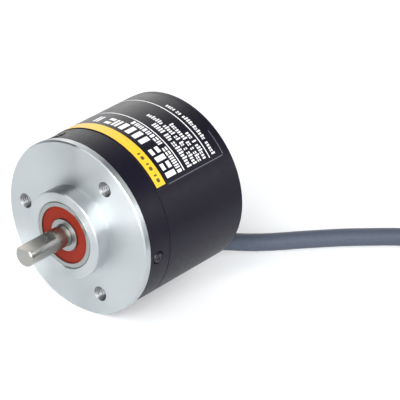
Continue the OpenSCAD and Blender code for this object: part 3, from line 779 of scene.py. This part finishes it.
def outlet_block(name, half_w, lift):
    """A block over the outlet's facet, lifted along the cable."""
    return box_mesh(name, (-half_w, -30, 0), (half_w, 30, 30), on_outlet(lift))


def make_cover():
    back_in = CASE_LEN - WALL - 0.1
    outline = [
        (0, LIP_Y, 0), (LIP_OUT_R, LIP_Y, 0.2), (LIP_OUT_R, JOINT_Y, 0), (CASE_R, JOINT_Y, 0.2),
        (CASE_R, CASE_LEN, 0.55), (19.3, CASE_LEN, 0.08), (19.0, CASE_LEN - 0.3, 0.08),
        (0, CASE_LEN - 0.3, 0),
    ]
    cover = lathe("cover_shell", outline, COVER_BLACK, 240, 5)
    cavity = lathe("cavity", [
        (0, LIP_Y - 0.5, 0), (LIP_IN_R, LIP_Y - 0.5, 0), (LIP_IN_R, JOINT_Y + 1, 0),
        (CASE_R - WALL, JOINT_Y + 2, 0), (CASE_R - WALL, back_in, 1.0), (0, back_in, 0),
    ], None, 240)
    cut(cavity, [outlet_block("inner_block", OUTLET_W / 2 + WALL + 0.1, -WALL - 0.1)])
    cover = cut(cover, [outlet_block("block", OUTLET_W / 2, 0.0)])
    cutters = [cavity, rod_cutter("bushing_hole", 3.22, -4, 3, on_outlet())]
    for a in thirds(CASE_SCREW_ANGLE):
        place = at(a, 0, CASE_SCREW_Y)
        cutters.append(rod_cutter("screw_hole", CASE_SCREW_R + 0.15, 21, 24, place))
    return cut(cover, cutters)


cover = make_cover()
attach(cover, "housing")
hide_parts("rear_cover")


def pan_screw(name, place, head_r, head_h, shank_r, shank_len, material):
    """A pan-head screw with a cross recess; local z = 0 is under its head."""
    turn = Matrix.Rotation(math.radians(90), 4, "X")
    outline = [
        (0, -shank_len, 0), (shank_r, -shank_len, 0.1), (shank_r, 0, 0.05), (head_r, 0, 0.08),
        (head_r, head_h * 0.55, head_h * 0.2), (head_r * 0.8, head_h * 0.93, 0.3), (0, head_h, 0),
    ]
    screw = lathe(name, outline, material, 48, 3, place=place @ turn)
    arm, width, depth = head_r * 0.58, head_r * 0.15, head_h * 0.55
    cutters = []
    for angle in (0, 90):
        spin = place @ Matrix.Rotation(math.radians(angle), 4, "Z")
        wedge = [
            spin @ Vector((sx * arm * (0.35 + 0.65 * top), sy * width * (0.6 + 0.4 * top),
                           head_h - depth + (depth + 0.3) * top))
            for sx in (-1, 1) for sy in (-1, 1) for top in (0, 1)
        ]
        cutters.append(mesh_object("wedge", wedge, BOX_FACES, None))
    return cut(screw, cutters)


SCREW_TURNS = (20, 52, 75)  # how far each screw's cross happens to be turned, in degrees


def case_screw(angle, turn):
    place = at(angle, 23.5, CASE_SCREW_Y) @ Matrix.Rotation(math.radians(turn), 4, "Z")
    return pan_screw("case_screw", place, 1.65, 1.52, CASE_SCREW_R, 4.7, SCREW_BLACK)


case_screws = joined(
    "case_screw_set",
    [case_screw(a, turn) for a, turn in zip(thirds(CASE_SCREW_ANGLE), SCREW_TURNS)],
)
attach(case_screws, "housing")
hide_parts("case_screws")

# ---- Label and its print ----


def patch(name, columns, r, thick, material):
    """A thin curved plate on the case: columns are (angle, lowest y, highest y)."""
    points, faces = [], []
    for angle, low, high in columns:
        for radius in (r, r + thick):
            points += [polar(angle, radius, low), polar(angle, radius, high)]
    for i in range(len(columns) - 1):
        a, b = i * 4, (i + 1) * 4
        faces += [
            (a, a + 1, b + 1, b), (a + 2, b + 2, b + 3, a + 3),
            (a, b, b + 2, a + 2), (a + 1, a + 3, b + 3, b + 1),
        ]
    last = 4 * (len(columns) - 1)
    faces += [(0, 2, 3, 1), (last, last + 1, last + 3, last + 2)]
    return mesh_object(name, points, faces, material, 40.0)


def plate(name, a0, a1, y0, y1, r, thick, material, corner=0.0):
    """A patch between two angles and two distances along the axis, with rounded corners."""
    degrees = math.degrees(1 / r)
    corner = min(corner, (y1 - y0) / 2 * 0.999, (a1 - a0) / degrees / 2)
    inner = corner * degrees
    steps = max(2, math.ceil((a1 - a0 - 2 * inner) / 1.5))
    columns = []
    for k in range(5):
        if inner > 0:
            s = 1 - math.cos(math.pi / 2 * k / 4)
            inset = corner * (1 - math.sin(math.pi / 2 * k / 4))
            columns.append((a0 + inner * s, y0 + inset, y1 - inset))
    middle = [a0 + inner + (a1 - a0 - 2 * inner) * k / steps for k in range(steps + 1)]
    columns += [(a, y0, y1) for a in (middle[1:-1] if inner > 0 else middle)]
    if inner > 0:
        columns += [(a0 + a1 - a, low, high) for a, low, high in reversed(columns[:5])]
    return patch(name, columns, r, thick, material)


LABEL_LOW, LABEL_HIGH = JOINT_Y + 0.25, CASE_LEN - 2.3
label = plate(
    "label_film", LABEL_FROM, LABEL_TO, LABEL_LOW, LABEL_HIGH, CASE_R, LABEL_T, LABEL_FILM, 1.2
)
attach(label, "housing")
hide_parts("label")

PRINT_R, PRINT_T = CASE_R + LABEL_T - 0.005, 0.02
# Rows of plain marks where a maker would put words: lowest and highest y, first angle, pitch in
# degrees, and how many marks each group has.
PRINT_ROWS = [
    (15.2, 18.7, 50.8, 5.7, (4, 6, 1)), (19.4, 21.0, 50.8, 3.2, (6, 8)),
    (23.2, 24.9, 50.4, 1.9, (10, 3, 5)), (25.5, 27.0, 50.4, 1.8, (5, 1, 2, 2, 5, 7)),
    (27.5, 29.0, 50.4, 1.8, (4, 1, 2, 8)), (29.5, 30.9, 50.4, 1.8, (6, 1, 3)),
    (33.0, 34.3, 50.4, 1.9, (5, 11, 2, 4)),
]
RULES = [(21.55, 21.85, -38.0, 50.8), (31.6, 31.9, -38.0, 51.6)]
# A mark's parts, each as the first and last share of its width and of its height.
MARKS = [
    [(0.0, 0.38, 0, 1), (0.6, 1.0, 0, 1)],
    [(0.0, 1.0, 0, 0.36), (0.0, 1.0, 0.64, 1)],
    [(0.1, 0.9, 0, 1)],
]
SMALL_MARKS = [
    [(0.0, 0.8, 0, 1)],
    [(0.0, 0.8, 0.25, 1)],
    [(0.0, 1.0, 0.25, 0.55), (0.0, 1.0, 0.75, 1)],
]


def print_marks(chance):
    """The rows of marks as patches on the label."""
    pieces = []
    for y0, y1, angle, pitch, groups in PRINT_ROWS:
        for count in groups:
            for _ in range(count):
                width, high = pitch * 0.78, y1 - y0
                for x0, x1, h0, h1 in chance.choice(MARKS if pitch > 3 else SMALL_MARKS):
                    pieces.append(plate(
                        "mark", angle - x1 * width, angle - x0 * width,
                        y1 - h1 * high, y1 - h0 * high, PRINT_R, PRINT_T, PRINT_WHITE,
                    ))
                angle -= pitch
            angle -= pitch * 0.7
    return pieces


def make_print():
    """The label's yellow band, rules, frame and marks."""
    band = plate("print_band", LABEL_FROM + 1.0, 52.6, 10.35, 13.75, PRINT_R, PRINT_T, PRINT_YELLOW)
    dark = [
        plate("dot", 50.0 - k * 4.2 - (2.6, 1.2)[k % 2], 50.0 - k * 4.2, 11.5, 12.6,
              PRINT_R + 0.01, PRINT_T, PRINT_DARK, 0.3)
        for k in range(6)
    ]
    bars = print_marks(random.Random(5))
    for y0, y1, a0, a1 in RULES:
        bars.append(plate("rule", a0, a1, y0, y1, PRINT_R, PRINT_T, PRINT_WHITE))
    frame_lines = [
        plate("edge", 53.5, 53.9, 14.6, 36.3, PRINT_R, PRINT_T, PRINT_GREY),
        plate("side", 36.0, 53.0, 36.5, 36.7, PRINT_R, PRINT_T, PRINT_GREY),
    ]
    return (
        band, joined("print_dots", dark, 40.0), joined("print_marks", bars, 40.0),
        joined("print_frame", frame_lines, 40.0),
    )


for piece in make_print():
    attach(piece, "housing")

# ---- Shaft and front bearing ----


def make_shaft():
    outline = [
        (0, -SHAFT_REACH, 0), (SHAFT_R - 0.35, -SHAFT_REACH, 0.1),
        (SHAFT_R, -SHAFT_REACH + 0.35, 0.1),
        (SHAFT_R, CLIP_Y, 0), (CLIP_GROOVE_R, CLIP_Y, 0), (CLIP_GROOVE_R, CLIP_Y + CLIP_ROOM, 0),
        (SHAFT_R, CLIP_Y + CLIP_ROOM, 0), (SHAFT_R, SHAFT_END, 0.3), (0, SHAFT_END, 0),
    ]
    shaft = lathe("shaft_rod", outline, SHAFT_STEEL, 128)
    flat = box_mesh("flat", (-5, -SHAFT_REACH - 1, FLAT_Z), (5, -SHAFT_REACH + FLAT_LEN, 6))
    return bevel(cut(shaft, [flat]), 0.06, 2)


shaft = make_shaft()
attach(shaft, "rotor")
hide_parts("shaft")


# The balls' pitch circle and groove, the rings' radii beside the balls, and the rebates that the
# seals sit in.
PITCH_R, GROOVE_R, OUTER_LAND_R, INNER_LAND_R = 6.25, 1.8, 7.2, 5.3
OUTER_REBATE_R, INNER_REBATE_R, REBATE = 8.2, 4.6, 0.95


def ball_groove(y, outer):
    """The part of a ring's outline that the balls run in, from its high y to its low y."""
    centre_y, land, r = y + BEARING_W / 2, OUTER_LAND_R if outer else INNER_LAND_R, GROOVE_R
    half = math.sqrt(r * r - (land - PITCH_R) ** 2)
    top = math.asin(half / r)
    sign = 1 if outer else -1
    angles = [top - 2 * top * k / 8 for k in range(9)]
    return [(PITCH_R + sign * r * math.cos(a), centre_y + r * math.sin(a), 0) for a in angles]


def make_outer_ring(name, y):
    far = y + BEARING_W
    land, rebate = OUTER_LAND_R, OUTER_REBATE_R
    outline = [
        (rebate, y, 0.08), (BEARING_R, y, 0.3), (BEARING_R, far, 0.3), (rebate, far, 0.08),
        (rebate, far - REBATE, 0), (land, far - REBATE, 0.05), *ball_groove(y, True),
        (land, y + REBATE, 0.05), (rebate, y + REBATE, 0),
    ]
    return lathe(name, outline, BEARING_RACE, 144)


def make_inner_ring(name, y):
    far = y + BEARING_W
    land, rebate, bore = INNER_LAND_R, INNER_REBATE_R, SHAFT_R + 0.02
    outline = [
        (bore, y, 0.2), (bore, far, 0.2), (rebate, far, 0.12), (rebate, far - REBATE, 0),
        (land, far - REBATE, 0.05), *ball_groove(y, False), (land, y + REBATE, 0.05),
        (rebate, y + REBATE, 0), (rebate, y, 0.12),
    ]
    return lathe(name, outline, BEARING_RACE, 144)


def make_seals(name, y):
    """The two moulded seals of a bearing, each with a raised rim and a thin inner lip."""
    rings = []
    for side, start in ((1, y + 0.3), (-1, y + BEARING_W - 0.3)):
        outline = [
            (4.72, start + side * 0.12, 0.05), (5.1, start + side * 0.1, 0.1), (5.5, start, 0.15),
            (7.5, start, 0.15), (7.75, start + side * 0.1, 0.1), (8.18, start + side * 0.1, 0.08),
            (8.18, start + side * 0.45, 0.05), (4.72, start + side * 0.4, 0.05),
        ]
        rings.append(lathe("seal", outline, SEAL_RED, 144))
    return joined(name, rings)


for key, start in (("front", FRONT_Y), ("rear", REAR_Y)):
    for maker, kind, body, slot in (
        (make_outer_ring, "outer_ring", "housing", "bearing_steel"),
        (make_inner_ring, "inner_ring", "rotor", "bearing_steel"),
        (make_seals, "seals", "housing", "bearing_seal"),
    ):
        piece = maker(f"{key}_{kind}_mesh", start)
        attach(piece, body)
        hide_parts(f"{key}_{kind}")

# ---- Cable bushing ----


def make_bushing():
    """The rubber gland round the cable, with three ribs that get smaller towards its tip."""
    turn = Matrix.Rotation(math.radians(90), 4, "X")
    ribs = []
    for k in range(3):
        z, r = 1.3 + k * 0.9, 3.95 - k * 0.26
        ribs += [
            (r, z, 0.1), (r - 0.1, z + 0.5, 0.12), (r - 0.5, z + 0.55, 0.06),
            (r - 0.5, z + 0.8, 0.06),
        ]
    outline = [
        (2.52, -WALL - 1.6, 0.1), (3.9, -WALL - 1.6, 0.3), (3.9, -WALL - 0.15, 0.1),
        (3.2, -WALL - 0.15, 0), (3.2, 0.02, 0), (4.4, 0.02, 0.1), (4.4, 0.9, 0.35), (3.5, 1.1, 0.1),
        *ribs, (3.1, BUSHING_LEN, 0.15), (2.52, BUSHING_LEN, 0.1),
    ]
    return lathe("bushing_boot", outline, RUBBER, 64, place=on_outlet() @ turn)


bushing = make_bushing()
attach(bushing, "housing")
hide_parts("cable_bushing")

# ---- Materials of the pieces that stay as the CAD made them ----

BRASS = turned_metal("hub_brass", (0.78, 0.56, 0.24), (0.22, 0.34), 14.0, 0.003, 0.3)
SPRING = turned_metal("spring_steel", (0.30, 0.30, 0.32), (0.28, 0.4), 10.0, 0.003, 0.2)
SPACER = turned_metal("spacer_aluminium", (0.7, 0.71, 0.73), (0.25, 0.36), 12.0, 0.003, 0.4)
ETCHED = turned_metal("etched_metal", (0.42, 0.43, 0.47), (0.25, 0.38), 6.0, 0.001, 0.2)
BALL = grained(
    new_material("ball_steel", (0.8, 0.8, 0.82), 0.08, 1.0), 2500.0, 0.001, (0.06, 0.12), 0.04
)
ZINC = grained(
    new_material("bright_screw", (0.68, 0.69, 0.72), 0.3, 1.0), 1500.0, 0.003, (0.24, 0.4)
)
TIN = grained(new_material("tinned_wire", (0.75, 0.75, 0.76), 0.3, 1.0), 2500.0, 0.003, (0.25, 0.4))
STEEL = grained(
    new_material("ferrule_steel", (0.66, 0.67, 0.7), 0.35, 1.0), 1200.0, 0.004, (0.28, 0.45)
)
BLACK_PLASTIC = grained(
    new_material("holder_plastic", (0.018, 0.018, 0.02), 0.5), 900.0, 0.008, (0.44, 0.6)
)
CHIP = grained(new_material("chip_plastic", (0.02, 0.02, 0.022), 0.55), 1800.0, 0.01, (0.5, 0.65))
CAN = turned_metal("can_aluminium", (0.72, 0.73, 0.75), (0.2, 0.3), 10.0, 0.002, 0.3)
CERAMIC = grained(
    new_material("chip_ceramic", (0.42, 0.32, 0.22), 0.45), 2200.0, 0.006, (0.38, 0.55), 0.2
)
CONNECTOR = grained(
    new_material("connector_plastic", (0.8, 0.77, 0.7), 0.4), 900.0, 0.006, (0.35, 0.5), 0.05
)
BOARD = grained(
    new_material(
        "board_laminate", (0.015, 0.16, 0.055), 0.3, 0.0, Coat_Weight=0.4, Coat_Roughness=0.2
    ),
    800.0, 0.006, (0.28, 0.4), 0.2,
)
O_RING = grained(
    new_material("seal_rubber", (0.014, 0.014, 0.015), 0.5), 1200.0, 0.006, (0.45, 0.6)
)
LENS = grained(
    new_material("led_lens", (0.9, 0.93, 0.98), 0.08, 0.0, Transmission_Weight=0.85, IOR=1.5),
    1500.0, 0.001, (0.05, 0.12), 0.02,
)
CAD_MATERIALS = {
    "cover_o_ring": O_RING, "bearing_spacer": SPACER, "retaining_clip": SPRING,
    "preload_washer": SPRING,
    "front_balls": BALL, "rear_balls": BALL, "front_cage": BRASS, "rear_cage": BRASS,
    "disc_hub": BRASS, "hub_set_screw": SCREW_BLACK, "code_disc": ETCHED, "disc_clamp_ring": BRASS,
    "disc_clamp_screws": ZINC, "led_holder": BLACK_PLASTIC, "led_holder_screws": ZINC,
    "led_emitter": LENS, "led_leads": TIN, "photosensor": CHIP, "slit_plate": ETCHED,
    "main_board": BOARD, "board_chip": CHIP, "board_capacitor": CAN, "board_chip_parts": CERAMIC,
    "wire_connector": CONNECTOR, "board_standoffs": BRASS, "board_screws": ZINC,
    "cable_ferrule": STEEL, "inner_cores": CORE_MATERIALS["orange"],
}
for node_name, material in CAD_MATERIALS.items():
    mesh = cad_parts[node_name].data
    mesh.materials.clear()
    mesh.materials.append(material)

# ---- Floor and lights ----


def make_floor():
    half = 3.0
    mesh = bpy.data.meshes.new("floor")
    corners = [(-half, -half), (half, -half), (half, half), (-half, half)]
    mesh.from_pydata([(x, y, TABLE_Z * MM) for x, y in corners], [], [(0, 1, 2, 3)])
    floor = bpy.data.objects.new("floor", mesh)
    bpy.context.collection.objects.link(floor)
    mat = new_material("floor_white", (0.8, 0.81, 0.82), 0.8, 0.0, Specular_IOR_Level=0.1)
    shader_of(mat).inputs["Emission Color"].default_value = (0.97, 0.985, 1.0, 1)
    shader_of(mat).inputs["Emission Strength"].default_value = 0.24
    clouds = noise(mat, 3.0, 2.0)
    plug(mat, ranged(mat, clouds, 0.75, 0.85), "Result", "Roughness")
    mesh.materials.append(mat)


def area_light(name, place, aim, size, power, colour=(1.0, 1.0, 1.0)):
    """A rectangular light of a size in metres and a power in watts, turned towards a point."""
    data = bpy.data.lights.new(name, "AREA")
    data.shape = "RECTANGLE"
    data.size, data.size_y = size
    data.energy = power
    data.color = colour
    light = bpy.data.objects.new(name, data)
    light.location = place
    light.rotation_euler = (Vector(aim) - Vector(place)).to_track_quat("-Z", "Y").to_euler()
    bpy.context.collection.objects.link(light)


def make_world():
    world = bpy.data.worlds.new("studio")
    bpy.context.scene.world = world
    world.use_nodes = True
    tree = world.node_tree
    back = tree.nodes["Background"]
    back.inputs["Color"].default_value = (0.85, 0.92, 1.0, 1)
    # Pale at the horizon, where the floor ends, and darker above it.
    split = tree.nodes.new("ShaderNodeSeparateXYZ")
    fade = tree.nodes.new("ShaderNodeMapRange")
    fade.inputs["From Min"].default_value, fade.inputs["From Max"].default_value = 0.02, 0.2
    fade.inputs["To Min"].default_value, fade.inputs["To Max"].default_value = 0.75, 0.14
    place = tree.nodes.new("ShaderNodeTexCoord")
    tree.links.new(place.outputs["Generated"], split.inputs["Vector"])
    tree.links.new(split.outputs["Z"], fade.inputs["Value"])
    tree.links.new(fade.outputs["Result"], back.inputs["Strength"])


make_floor()
make_world()
# Two large lights and a narrow one in front, and two behind.
area_light("key", (0.62, -0.66, 0.42), (0.0, 0.0, 0.0), (0.9, 0.85), 15.5)
area_light("front_top", (-0.06, -0.66, 0.82), (0.0, 0.0, 0.0), (1.3, 0.9), 8.5)
area_light("strip", (0.2, -0.84, 0.5), (0.0, 0.0, 0.0), (0.07, 0.5), 1.2)
area_light("back_left", (-0.73, 0.83, 0.42), (0, 0.02, 0), (1.0, 0.9), 7.0, (1.0, 0.98, 0.95))
area_light("back_right", (0.6, 0.55, 0.22), (0, 0.02, 0), (0.12, 0.3), 1.0)
bpy.context.scene.view_settings.view_transform = "Standard"
